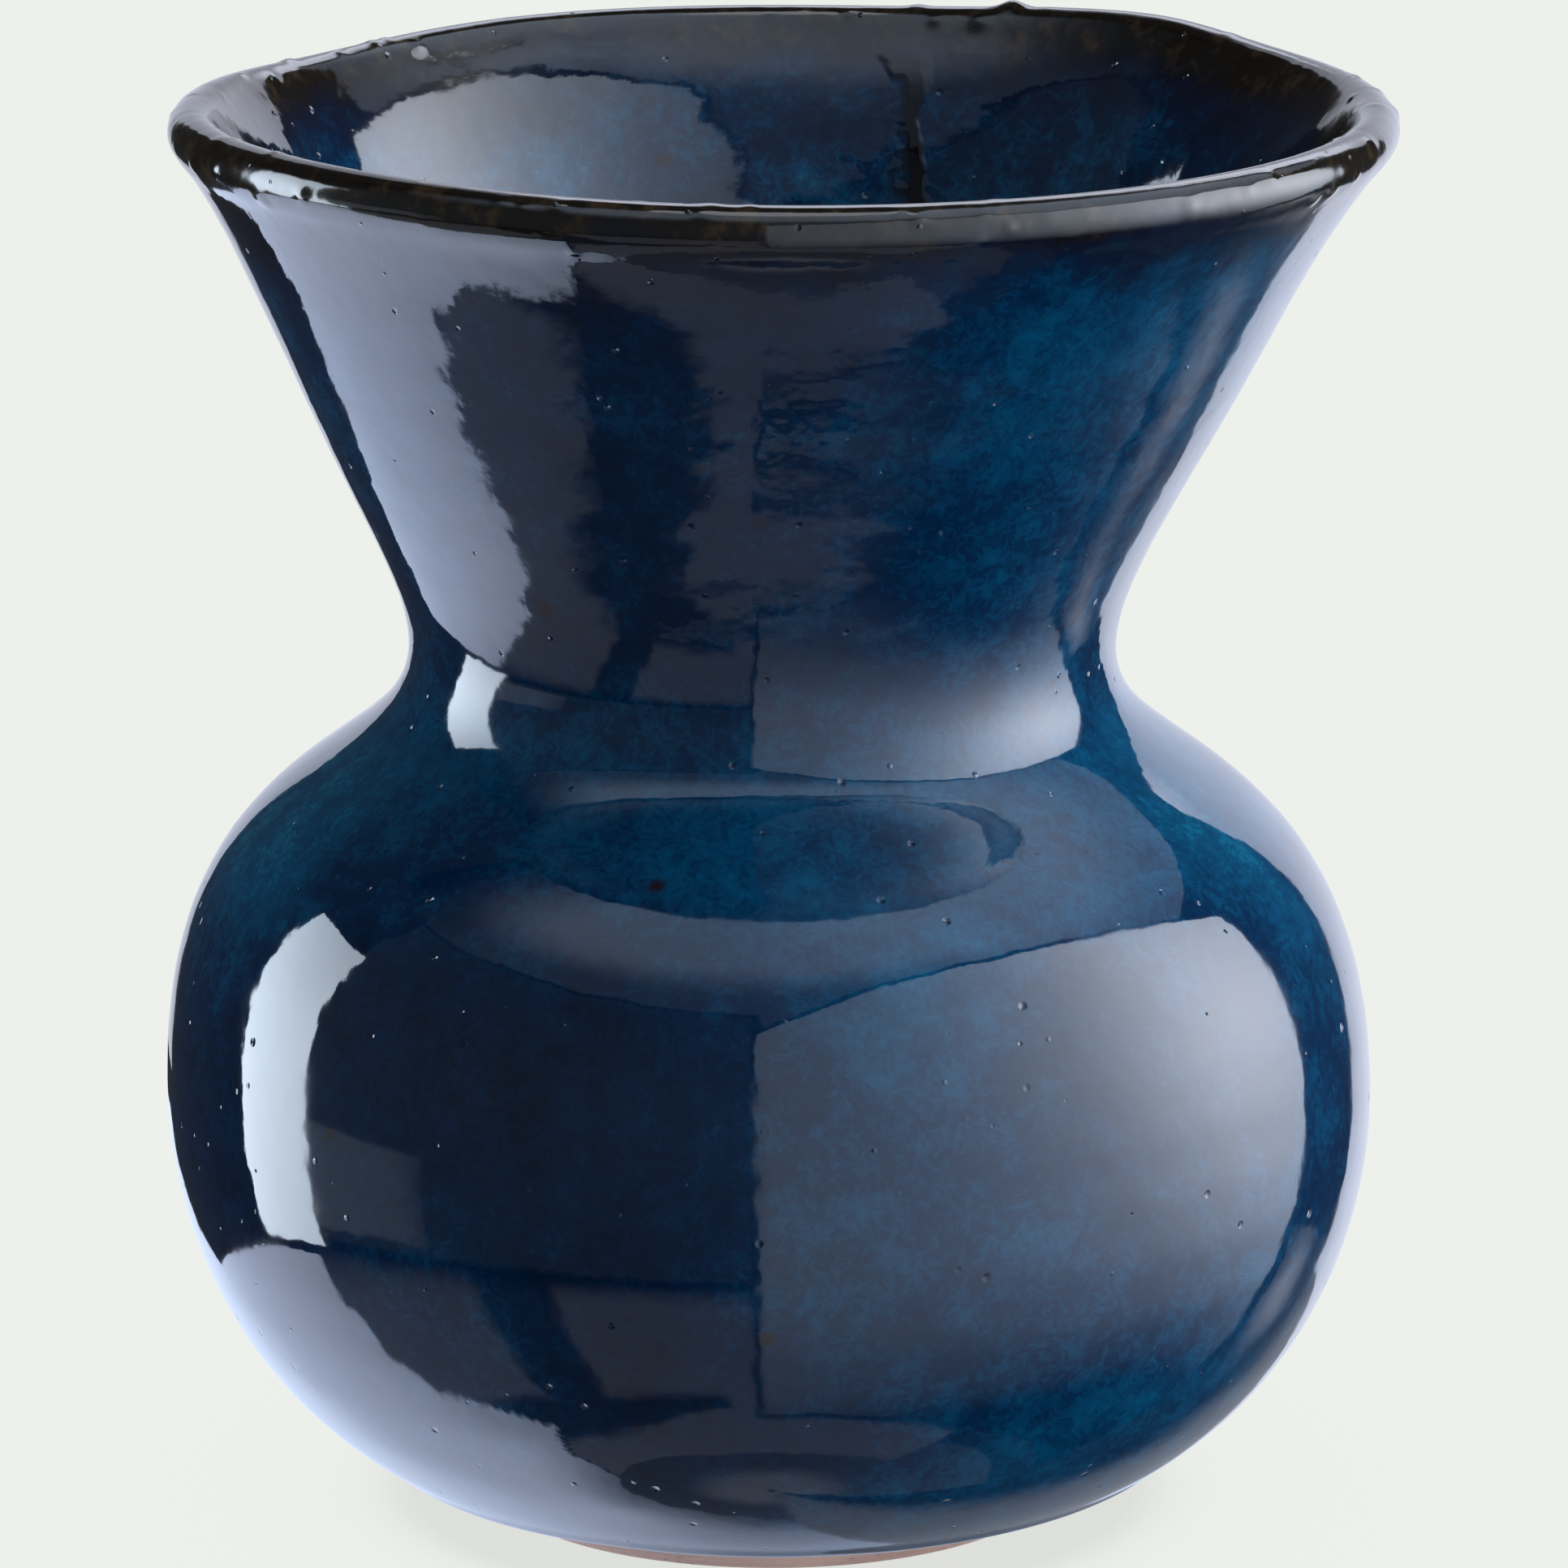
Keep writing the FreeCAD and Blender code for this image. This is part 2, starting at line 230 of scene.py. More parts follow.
# %% Lean, rim wave, dents and throwing ridges
LEAN_HEIGHTS = np.array([0, 9, 25, 38, 48, 74, 82, 95, 103, 114, 128, 139, 147, 155]) * MM
LEAN = np.array([0.3, 0.2, 0, -0.2, -0.4, -1.3, -1.55, -1.2, -1.0, -0.7, 0, 0.45, 0.95, 1.25]) * MM
RIM_HUMPS = [  # angle from +X, height, spread before and after the angle
    (50, 1.5, 9, 14), (110, 0.25, 20, 20), (145, -1.1, 13, 13), (222, 0.45, 18, 18),
    (300, -0.25, 25, 25),
]
RIM_WAVE_FROM, RIM_WAVE_FULL = 125 * MM, 150 * MM
OUT_OF_ROUND = 0.25 * MM
DENT = 0.05 * MM
RIDGE, RIDGE_PITCH = 0.012 * MM, 6.5 * MM
LEVEL_FLOOR = 30 * MM


def smoothstep(low_end, high_end, value):
    """0 below the low end, 1 above the high end, and the smooth cubic 3t^2 - 2t^3 between."""
    t = np.clip((value - low_end) / (high_end - low_end), 0, 1)
    return t * t * (3 - 2 * t)


def turn_between(angle, other):
    """The angle from `other` to `angle`, between half a turn back and half a turn on."""
    return (angle - other + np.pi) % (2 * np.pi) - np.pi


def rim_wave(angle):
    """Sum of bell curves of the angle, each with its own spread before and after its middle."""
    wave = np.zeros_like(angle)
    for middle, height, before, after in RIM_HUMPS:
        away = turn_between(angle, math.radians(middle))
        spread = np.radians(np.where(away < 0, before, after))
        wave = wave + height * MM * np.exp(-0.5 * (away / spread) ** 2)
    return wave


def dents(angle, height):
    """Slow cosine waves: k turns round the pot while they climb, each with its own slant."""
    random = np.random.default_rng(7)
    total = np.zeros(np.broadcast(angle, height).shape)
    for around in (2, 3, 4, 5, 7, 9):
        climb = random.uniform(-60, 60)
        start = random.uniform(0, 2 * np.pi)
        total += np.cos(around * angle + climb * height + start) * DENT * (3 / (around + 1))
    return total


def hand(radius, height, angle):
    """Points (x, y, z) of a section point turned to an angle, with the marks of a hand.

    The radius grows by an oval, the dents and the ridges, all of which fade out near the axis; x
    moves by the lean at that height; z moves by the rim's wave, which fades out below the lip."""
    ridges = np.sin(2 * np.pi * height / RIDGE_PITCH + 0.6 * np.sin(angle) + 0.4 * np.cos(2 * angle))
    uneven = OUT_OF_ROUND * np.cos(2 * (angle - 0.6)) + dents(angle, height) + RIDGE * ridges
    full_radius = radius + uneven * smoothstep(0, LEVEL_FLOOR, radius)
    x = full_radius * np.cos(angle) + spline(LEAN_HEIGHTS, LEAN, height)
    y = full_radius * np.sin(angle)
    z = height + rim_wave(angle) * smoothstep(RIM_WAVE_FROM, RIM_WAVE_FULL, height)
    return np.stack(np.broadcast_arrays(x, y, z), axis=-1)


# %% [markdown]
# ## From a section to a mesh
#
# A piece is a grid: rows along its section and columns round the pot. Rows that close on
# themselves make a ring, as the outside and rim coats are. Rows that start and end on the axis are
# closed by one point at each pole. The grid is written with whole arrays, and corners of the
# section are marked sharp so that the shading doesn't smear round them.


# %% Turn a grid of points into a mesh object
def grid_faces(rows, columns, ring):
    """Vertex numbers of the quads between neighbouring rows and columns; the columns wrap round,
    and in a ring the last row joins the first."""
    row = np.arange(rows if ring else rows - 1)[:, None]
    column = np.arange(columns)[None, :]
    up = (row + 1) % rows
    on = (column + 1) % columns
    quads = [row * columns + column, row * columns + on, up * columns + on, up * columns + column]
    return np.stack(quads, axis=-1).reshape(-1, 4)


def pole_faces(rows, columns):
    """Triangles that join the first row and the last row to the two pole points, which come after
    the grid in the list of vertices."""
    column = np.arange(columns)
    on = (column + 1) % columns
    first_pole, last_pole = rows * columns, rows * columns + 1
    last = (rows - 1) * columns
    first_fan = np.stack([on, column, np.full(columns, first_pole)], axis=-1)
    last_fan = np.stack([last + column, last + on, np.full(columns, last_pole)], axis=-1)
    return np.vstack([first_fan, last_fan])


def piece_from_grid(name, points, poles=None, sharp_rows=()):
    """A mesh object from a grid (rows, columns, 3) of points, with or without two pole points.

    Faces point outwards: the volume, a sixth of the sum of a . (b x c) over the triangles, has to
    be positive, or every face is turned round."""
    rows, columns = points.shape[:2]
    vertices = points.reshape(-1, 3)
    quads = grid_faces(rows, columns, poles is None)
    fans = np.empty((0, 3), int)
    if poles is not None:
        vertices = np.vstack([vertices, poles])
        fans = pole_faces(rows, columns)
    halves = np.vstack([quads[:, [0, 1, 2]], quads[:, [0, 2, 3]], fans])
    a, b, c = (vertices[halves[:, k]] for k in range(3))
    volume = np.einsum("ij,ij->", a, np.cross(b, c)) / 6
    if volume < 0:
        quads, fans = quads[:, ::-1], fans[:, ::-1]
    mesh = bpy.data.meshes.new(name)
    mesh.from_pydata(vertices.tolist(), [], quads.tolist() + fans.tolist())
    mesh.polygons.foreach_set("use_smooth", np.ones(len(mesh.polygons), bool))
    edges = np.empty(len(mesh.edges) * 2, int)
    mesh.edges.foreach_get("vertices", edges)
    edge_rows = edges.reshape(-1, 2) // columns
    on_corner = (edge_rows[:, 0] == edge_rows[:, 1]) & np.isin(edge_rows[:, 0], sharp_rows)
    mesh.attributes.new("sharp_edge", "BOOLEAN", "EDGE").data.foreach_set("value", on_corner)
    mesh.update()
    piece = bpy.data.objects.new(name, mesh)
    bpy.context.scene.collection.objects.link(piece)
    print(name, len(halves), "triangles,", round(abs(volume) * 1e9), "cubic mm")
    return piece


FINE_STEPS = 4000


def rows_between(start, end, spacing):
    """Lengths from start to end whose steps follow `spacing`, a function of the length.

    The number of rows up to a length is the integral of one over the spacing; equal shares of that
    count are read back as lengths."""
    fine = np.linspace(start, end, FINE_STEPS)
    count = np.concatenate([[0], np.cumsum(np.diff(fine) / spacing((fine[1:] + fine[:-1]) / 2))])
    return np.interp(np.linspace(0, count[-1], int(round(count[-1])) + 1), count, fine)


# %% [markdown]
# ## A coat of glaze
#
# Glaze is powdered glass: poured on, it follows the clay at an even half millimetre, and in the
# kiln it melts and creeps. At its lower edge it stops in a fat rounded roll, whose line wanders. On
# the lip it gathers in small beads. A coat is made from a stretch of the finished line and the same
# stretch moved back by its thickness. The front takes the beads and the roll; the back stays on
# the clay.

# %% Thickness, roll, wandering edge and beads on the lip
ROLL_PLACE, ROLL_WIDTH, ROLL_EXTRA = 1.0 * MM, 0.9 * MM, 0.25 * MM
ROLL_ROUNDING = 0.7 * MM
EDGE_WANDER, EDGE_RAISE, EDGE_FADE = 0.30 * MM, 1.0 * MM, 12 * MM
LIP_HOLLOW_DEPTH, LIP_HOLLOW_WIDTH = 0.05 * MM, 1.6 * MM
LIP_BEAD_HEIGHT, LIP_BEAD_WIDTH = 0.06 * MM, 1.8 * MM
LIP_BEAD_UP = 3.4 * MM
BEADS = 110
lip_radius = finished_at(np.array([OUTER_END]))[0][0, 0]


def bell(value, middle, width):
    """Bell curve with its top, 1, at the middle, and a spread of half the width."""
    return np.exp(-2 * ((value - middle) / width) ** 2)


def edge_wander(angle):
    """How far up the clay the glaze's lower line stops: cosine waves of 3 to 23 round the foot."""
    random = np.random.default_rng(11)
    wander = np.zeros_like(angle)
    for around in (3, 5, 8, 13, 23):
        wander = wander + np.cos(around * angle + random.uniform(0, 2 * np.pi)) / math.sqrt(around)
    return EDGE_RAISE + EDGE_WANDER * wander


def lip_beads(length, angle):
    """Small beads and the one large nib on the lip: bell curves of the distance over the surface.

    Each bead has an angle, a length along the finished line, a width and a height, drawn from a
    seeded source."""
    random = np.random.default_rng(5)
    middle = (OUTER_END + RIM_END) / 2
    places = [(math.radians(66), middle + 1.2 * MM, 2.1 * MM, 0.75 * MM)]
    places.append((math.radians(64.6), middle - 0.6 * MM, 1.5 * MM, 0.35 * MM))
    for _ in range(BEADS):
        around = random.uniform(0, 2 * np.pi)
        along = middle + random.uniform(-5.5, 4.5) * MM
        places.append((around, along, random.uniform(0.7, 1.7) * MM, random.uniform(0.04, 0.22) * MM))
    total = np.zeros(np.broadcast(length, angle).shape)
    for around, along, width, height in places:
        across = turn_between(angle, around) * lip_radius
        distance = np.hypot(across, length - along)
        total += height * bell(distance, 0, width)
    return total


def front_rise(length, angle):
    """How far the front of a coat stands above the even coat: the roll at the foot line, the hollow
    and bead under the lip, and the small beads on the lip."""
    roll = ROLL_EXTRA * bell(length, ROLL_PLACE, ROLL_WIDTH * 2)
    rounding = np.clip(1 - length / ROLL_ROUNDING, 0, 1)
    ending = (COAT + roll) * (1 - np.sqrt(1 - rounding**2))
    hollow = LIP_HOLLOW_DEPTH * bell(length, OUTER_END + 1.6 * MM, LIP_HOLLOW_WIDTH * 2)
    bead = LIP_BEAD_HEIGHT * bell(length, OUTER_END + LIP_BEAD_UP, LIP_BEAD_WIDTH)
    return roll - ending - hollow + bead + lip_beads(length, angle)


def coat_point(length, angle, depth):
    """Point of a coat: the finished line at a length, moved out by `depth` along its normal, with
    the lower end moved up by the wandering edge, turned to the angle by the hand."""
    slide = edge_wander(angle) * (1 - smoothstep(0, EDGE_FADE, length))
    point, normal = finished_at(length + slide)
    point = point + depth[..., None] * normal
    return hand(np.maximum(point[..., 0], 0), point[..., 1], angle)


BACK_ROWS = 40


def coat_piece(name, start, end, spacing, columns):
    """A coat from one length of the finished line to another: front rows close together, back rows
    far apart. A coat that reaches the axis is open there and gets its poles."""
    angle = (np.arange(columns) * 2 * np.pi / columns)[None, :]
    to_axis = end > LINE_END - 1e-9
    front = rows_between(start, end, spacing)
    back = np.linspace(end, start, BACK_ROWS)
    if to_axis:
        front, back = front[:-1], back[1:]
    front_grid = np.broadcast_to(front[:, None], (len(front), columns))
    back_grid = np.broadcast_to(back[:, None], (len(back), columns))
    rows = [coat_point(front_grid, angle, front_rise(front_grid, angle)),
            coat_point(back_grid, angle, np.full(back_grid.shape, -COAT))]
    corners = [0, len(front) - 1, len(front), len(front) + len(back) - 1]
    if not to_axis:
        return piece_from_grid(name, np.concatenate(rows), None, corners)
    grid = np.concatenate([rows[1], rows[0]])
    height = finished[-1, 1]
    poles = [hand(0, height - COAT, 0), hand(0, height, 0)]
    return piece_from_grid(name, grid, poles, [len(back) - 1, len(back)])


COAT_COLUMNS = 420
FOOT_SPACING, WALL_SPACING, LIP_SPACING = 0.12 * MM, 1.05 * MM, 0.27 * MM
outer_coat = coat_piece(
    "blue_outer_coat", 0, OUTER_END,
    lambda length: FOOT_SPACING + (WALL_SPACING - FOOT_SPACING) * smoothstep(2 * MM, 8 * MM, length),
    COAT_COLUMNS)
rim_coat = coat_piece(
    "iron_rim_coat", OUTER_END, RIM_END,
    lambda length: np.full_like(length, LIP_SPACING), 2 * COAT_COLUMNS)
inner_coat = coat_piece(
    "blue_inner_coat", RIM_END, LINE_END,
    lambda length: np.full_like(length, WALL_SPACING), COAT_COLUMNS)

# %% [markdown]
# ## The clay pot
#
# Under the coats is the pot itself, bare only at its foot. Its section goes from the middle of the
# foot's hollow, round the foot ring, up the outside, over the top and down to the inside floor. It
# is turned by the same hand, so that the coats lie on it.

# %% The clay body
CLAY_COLUMNS = 360
CLAY_SPACING = 1.65 * MM


def clay_rows():
    """The clay's section with its smooth sides splined and its corners kept: rows (n, 2) and the
    numbers of the corner rows."""
    line = section_of("clay_body")
    if line[0, 1] > line[-1, 1]:
        line = line[::-1]
    line = np.vstack([[line[0, 0] / 2, line[0, 1]], line, [line[-1, 0] / 2, line[-1, 1]]])
    rows, corners = [line[:1]], [0]
    for side in sides_of(line, False):
        along = lengths_along(side)
        count = max(2, int(along[-1] / CLAY_SPACING))
        at = np.linspace(0, along[-1], count + 1)[1:]
        curved = len(side) > 3
        rows.append(spline(along, side, at) if curved
                    else np.stack([np.interp(at, along, side[:, k]) for k in range(2)], axis=-1))
        corners.append(corners[-1] + count)
    rows = np.vstack(rows)
    rows[:, 1] = np.maximum(rows[:, 1], line[:, 1].min())
    return rows, corners


clay_line, clay_corners = clay_rows()
clay_angle = (np.arange(CLAY_COLUMNS) * 2 * np.pi / CLAY_COLUMNS)[None, :]
clay_grid = hand(clay_line[:, :1], clay_line[:, 1:], clay_angle)
clay_poles = [hand(0, clay_line[0, 1], 0), hand(0, clay_line[-1, 1], 0)]
clay_pot = piece_from_grid("clay_pot", clay_grid, clay_poles, clay_corners)

# %% [markdown]
# ## Finishes: helpers for node trees
#
# Every finish here is built from nodes. A short helper adds a node and fills its sockets: a socket
# given another node's output is linked to it, and a number or colour is set on it. The others are
# short names for the nodes used most. A noise runs from about 0.2 to 0.8, and its scale is roughly
# how many lumps it has to a metre.

# %% Helpers for nodes
NOISE_RANGE = (0.2, 0.8)


def fill_sockets(tree, node, inputs):
    """Link or set a node's inputs, given by name or number; returns the node."""
    for key, value in inputs.items():
        if isinstance(value, bpy.types.NodeSocket):
            tree.links.new(value, node.inputs[key])
        else:
            node.inputs[key].default_value = value
    return node


def add(tree, kind, inputs=None, **settings):
    """Add a node of this kind, set its settings and fill its inputs; returns the node."""
    node = tree.nodes.new("ShaderNode" + kind)
    for setting, value in settings.items():
        setattr(node, setting, value)
    return fill_sockets(tree, node, inputs or {})


def math_node(tree, operation, *values):
    """One arithmetic step; returns its result socket."""
    return add(tree, "Math", dict(enumerate(values)), operation=operation).outputs[0]


def vector_node(tree, operation, inputs):
    """One step with vectors; returns its result socket, a number for a length, distance or dot."""
    gives_number = operation in ("LENGTH", "DISTANCE", "DOT_PRODUCT")
    return add(tree, "VectorMath", inputs, operation=operation).outputs[1 if gives_number else 0]


def fade(tree, value, low_end, high_end, to_low=0.0, to_high=1.0):
    """A value carried smoothly from one range to another; returns its result socket."""
    inputs = {"Value": value, "From Min": low_end, "From Max": high_end, "To Min": to_low, "To Max": to_high}
    return add(tree, "MapRange", inputs, interpolation_type="SMOOTHSTEP").outputs[0]


def noise(tree, vector, scale, detail=2.0, roughness=0.5, distortion=0.0):
    """Soft lumps; returns the value socket."""
    return add(tree, "TexNoise", {"Vector": vector, "Scale": scale, "Detail": detail,
                                  "Roughness": roughness, "Distortion": distortion}).outputs[0]


def scattered(tree, vector, scale):
    """Scattered points, `scale` to a metre: the distance to the nearest, in units of their spacing,
    and two random numbers that go with it."""
    points = add(tree, "TexVoronoi", {"Vector": vector, "Scale": scale})
    chances = add(tree, "SeparateColor", {0: points.outputs["Color"]})
    return points.outputs["Distance"], chances.outputs[0], chances.outputs[1]


def height_of(tree, vector):
    """The Z of a vector."""
    return add(tree, "SeparateXYZ", {0: vector}).outputs["Z"]


def mix_colours(tree, share, first, second):
    """Colour between first and second by share; returns its result socket."""
    return add(tree, "Mix", {0: share, 6: first, 7: second}, data_type="RGBA").outputs[2]


def bump_from(tree, height):
    """Shading normal from a height in true metres; returns its socket."""
    return add(tree, "Bump", {"Height": height, "Distance": 1.0, "Strength": 1.0}).outputs[0]


def new_group(name, numbers, outputs):
    """An empty shader node group that is given Vector and the numbers (name: default) and gives the
    outputs; returns the group, its given sockets and the sockets that it gives."""
    group = bpy.data.node_groups.new(name, "ShaderNodeTree")
    group.interface.new_socket("Vector", in_out="INPUT", socket_type="NodeSocketVector")
    for socket_name, default in numbers.items():
        socket = group.interface.new_socket(socket_name, in_out="INPUT", socket_type="NodeSocketFloat")
        socket.default_value = default
    for socket_name in outputs:
        group.interface.new_socket(socket_name, in_out="OUTPUT", socket_type="NodeSocketFloat")
    start = group.nodes.new("NodeGroupInput")
    end = group.nodes.new("NodeGroupOutput")
    return group, start.outputs, end.inputs


def use_group(tree, group, inputs):
    """Place a group in a tree; returns its outputs."""
    node = tree.nodes.new("ShaderNodeGroup")
    node.node_tree = group
    return fill_sockets(tree, node, inputs).outputs


# %% [markdown]
# ## The depth of the glaze
#
# A thick stoneware glaze is not one blue. Cobalt and iron separate while it melts, so it clouds
# from navy to teal over a few centimetres, and close up it is a felt of short curled streaks, one
# or two millimetres long, with a few dark iron specks. Teal is also painted where light falls, as
# painted light: in a band round the shoulder and in a few broad lit patches, most on the right.
# The group gives cloud, felt, painted light and specks as values. The streaks curl because their
# noise is bent by another noise.

# %% Node group: clouds, felt, painted light and specks
CLOUD_RANGE, FELT_RANGE = (0.36, 0.66), (0.31, 0.71)
FELT_BEND_SCALE, FELT_BEND = 330.0, 0.0048
FELT_SCALE, FELT_SHARE = 900.0, 0.45
PATCH_SCALE, PATCH_SHARE = 180.0, 0.48
THREAD_SCALE, THREAD_SHARE, THREAD_WIDTH = 600.0, 0.06, 0.055
SPECK_SCALE, SPECK_REACH, SPECK_CHANCE = 90.0, (0.03, 0.13), (0.80, 0.84)
# Painted light: teal painted where light falls, in a band round the shoulder and in lit patches.
LIT_BAND_FROM, LIT_BAND_TO, LIT_BAND_WANDER = (60 * MM, 84 * MM), (84 * MM, 104 * MM), 8 * MM
LIT_PATCHES = [  # middle of a painted lit patch, how far it reaches, how strong it is
    ((44 * MM, -42 * MM, 124 * MM), 60 * MM, 0.62),
    ((34 * MM, -50 * MM, 14 * MM), 36 * MM, 0.40),
    ((14 * MM, 58 * MM, 118 * MM), 34 * MM, 0.6),
]
LIT_PATCH_CORE, LIT_PATCH_UNEVEN = 0.3, (1.3, 0.75)


def felt_of(tree, vector):
    """Weighted sum of a fine bent noise, a coarser one and the thin threads where a third noise
    crosses its middle."""
    warp = add(tree, "TexNoise", {"Vector": vector, "Scale": FELT_BEND_SCALE}).outputs["Color"]
    bent = vector_node(tree, "SUBTRACT", {0: warp, 1: (0.5, 0.5, 0.5)})
    bent = vector_node(tree, "SCALE", {0: bent, "Scale": FELT_BEND})
    bent = vector_node(tree, "ADD", {0: vector, 1: bent})
    felt = noise(tree, bent, FELT_SCALE, 3.0, 0.6)
    patch = noise(tree, vector, PATCH_SCALE, 3.0, 0.6)
    thread = noise(tree, bent, THREAD_SCALE, 1.0)
    off_middle = math_node(tree, "ABSOLUTE", math_node(tree, "SUBTRACT", thread, 0.5))
    threads = fade(tree, off_middle, 0.0, THREAD_WIDTH, 1.0, 0.0)
    both = math_node(tree, "ADD", math_node(tree, "MULTIPLY", felt, FELT_SHARE),
                     math_node(tree, "MULTIPLY", patch, PATCH_SHARE))
    return math_node(tree, "MULTIPLY_ADD", threads, THREAD_SHARE, both)


def painted_lit_teal(tree, vector, cloud):
    """Painted light: a band of heights round the shoulder that the cloud makes wander, or a lit patch
    if that is stronger; a patch fades with the distance from its middle."""
    wander = fade(tree, cloud, *NOISE_RANGE, -LIT_BAND_WANDER, LIT_BAND_WANDER)
    height = math_node(tree, "ADD", height_of(tree, vector), wander)
    thick = math_node(tree, "MULTIPLY", fade(tree, height, *LIT_BAND_FROM),
                      fade(tree, height, *LIT_BAND_TO, 1.0, 0.0))
    uneven = fade(tree, cloud, *NOISE_RANGE, *LIT_PATCH_UNEVEN)
    for middle, reach, strength in LIT_PATCHES:
        away = math_node(tree, "MULTIPLY", vector_node(tree, "DISTANCE", {0: vector, 1: middle}), uneven)
        thick = math_node(tree, "MAXIMUM", thick, fade(tree, away, LIT_PATCH_CORE * reach, reach, strength, 0.0))
    return thick


def build_glaze_depth():
    """The group of all four values."""
    group, given, gives = new_group("glaze depth", {"Cloud Scale": 16.0}, ["Cloud", "Felt", "Lit Teal", "Speck"])
    vector = given["Vector"]
    cloud = noise(group, vector, given["Cloud Scale"], 3.0, 0.55, 0.4)
    distance, chance, _ = scattered(group, vector, SPECK_SCALE)
    speck = math_node(group, "MULTIPLY", fade(group, distance, *SPECK_REACH, 1.0, 0.0),
                      fade(group, chance, *SPECK_CHANCE))
    group.links.new(painted_lit_teal(group, vector, cloud), gives["Lit Teal"])
    group.links.new(fade(group, cloud, *CLOUD_RANGE), gives["Cloud"])
    group.links.new(fade(group, felt_of(group, vector), *FELT_RANGE), gives["Felt"])
    group.links.new(speck, gives["Speck"])
    return group


# %% [markdown]
# ## The skin of the glaze
#
# The fired surface is like still water with a faint ripple: waves 3 to 8 millimetres long and a few
# hundredths of a millimetre high. They make the edges of a reflected window ragged. Here and there a
# bubble broke through in the kiln and left a pinhole half a millimetre wide, or a grain stands
# proud. The heights are true metres, and a Bump node with a distance of one turns them into the
# shading normal.

# %% Node group: ripple, pinholes and grains of the glaze's skin
RIPPLES = [  # scale, detail, roughness, share of the ripple's height
    (130.0, 1.0, 0.4, 1.0), (380.0, 1.0, 0.4, 0.36), (1100.0, 2.0, 0.5, 0.05),
]
CALM_BELOW, CALM, LIVELY = (85 * MM, 110 * MM), 0.75, 1.35
PINHOLE_SCALE, PINHOLE_CHANCE = 260.0, (0.60, 0.64)
PINHOLE_SMALL, PINHOLE_LARGE, PINHOLE_DEPTH = 0.05, 0.14, 0.15 * MM
GRAIN_SCALE, GRAIN_CHANCE, GRAIN_REACH, GRAIN_HEIGHT = 330.0, (0.80, 0.84), 0.13, 0.09 * MM
HAZE_SCALE, HAZE_RANGE = 60.0, (0.3, 0.7)


def build_glaze_skin():
    """Height = ripples of three sizes - a cone for each pinhole + a rounded grain here and there."""
    group, given, gives = new_group("glaze skin", {"Ripple": 0.03 * MM}, ["Height", "Pinhole Shade", "Gloss Loss"])
    vector = given["Vector"]
    lively = fade(group, height_of(group, vector), *CALM_BELOW, CALM, LIVELY)
    lively = math_node(group, "MULTIPLY", given["Ripple"], lively)
    distance, chance, size = scattered(group, vector, PINHOLE_SCALE)
    size = fade(group, size, 0.0, 1.0, PINHOLE_SMALL, PINHOLE_LARGE)
    nearness = math_node(group, "SUBTRACT", 1.0, math_node(group, "DIVIDE", distance, size))
    nearness = math_node(group, "MAXIMUM", nearness, 0.0)
    pinhole = math_node(group, "MULTIPLY", nearness, fade(group, chance, *PINHOLE_CHANCE))
    skin = math_node(group, "MULTIPLY", pinhole, -PINHOLE_DEPTH)
    distance, _, chance = scattered(group, vector, GRAIN_SCALE)
    grain = fade(group, distance, 0.0, GRAIN_REACH, GRAIN_HEIGHT, 0.0)
    skin = math_node(group, "MULTIPLY_ADD", grain, fade(group, chance, *GRAIN_CHANCE), skin)
    for scale, detail, roughness, share in RIPPLES:
        waves = math_node(group, "MULTIPLY", noise(group, vector, scale, detail, roughness), lively)
        skin = math_node(group, "MULTIPLY_ADD", waves, share, skin)
    group.links.new(skin, gives["Height"])
    # The pinhole mask also goes out to darken each pit in the glaze: painted shade.
    group.links.new(pinhole, gives["Pinhole Shade"])
    group.links.new(fade(group, noise(group, vector, HAZE_SCALE, 5.0), *HAZE_RANGE), gives["Gloss Loss"])
    return group


# %% [markdown]
# ## Breaking over the lip
#
# Over a sharp edge the melted glaze runs thin, and the iron in the clay burns through it: brown-black
# with rusty blots on the lip itself, then a purple brown that fades into the blue 8 to 20
# millimetres below. The group gives all three as masks from the height of the surface, made uneven
# by noise.

# %% Node group: where the glaze breaks to iron near the lip
LIP_TO_IRON, LIP_TO_PLUM = 4.5 * MM, 15 * MM
IRON_FROM, IRON_TO = 0.45, 1.5
LIP_UNEVEN_SCALE, LIP_UNEVEN = 45.0, 3.5 * MM
PLUM_REACH_SCALE, PLUM_REACH = 14.0, (0.55, 1.35)
RUST_SCALE, RUST_RANGE = 380.0, (0.48, 0.70)


def build_lip_break():
    """Masks of the distance below the lip."""
    group, given, gives = new_group("lip break", {"Lip Height": 0.155}, ["Iron", "Plum", "Rust"])
    vector = given["Vector"]
    uneven = noise(group, vector, LIP_UNEVEN_SCALE, 4.0, 0.6)
    down = math_node(group, "SUBTRACT", given["Lip Height"], height_of(group, vector))
    down = math_node(group, "ADD", down, fade(group, uneven, *NOISE_RANGE, -LIP_UNEVEN, LIP_UNEVEN))
    reach = fade(group, noise(group, vector, PLUM_REACH_SCALE, 1.0), 0.35, 0.65, *PLUM_REACH)
    plum_down = math_node(group, "DIVIDE", down, reach)
    iron = fade(group, down, LIP_TO_IRON * IRON_FROM, LIP_TO_IRON * IRON_TO, 1.0, 0.0)
    group.links.new(iron, gives["Iron"])
    group.links.new(fade(group, plum_down, LIP_TO_IRON, LIP_TO_PLUM, 1.0, 0.0), gives["Plum"])
    group.links.new(fade(group, noise(group, vector, RUST_SCALE, 4.0, 0.65), *RUST_RANGE), gives["Rust"])
    return group


# %% [markdown]
# ## A run of iron inside
#
# Inside the far wall one thin run of dark iron creeps down from the lip. It is the band of surface
# near a steep slanting plane through the pot, so a dot product gives the distance from its middle.

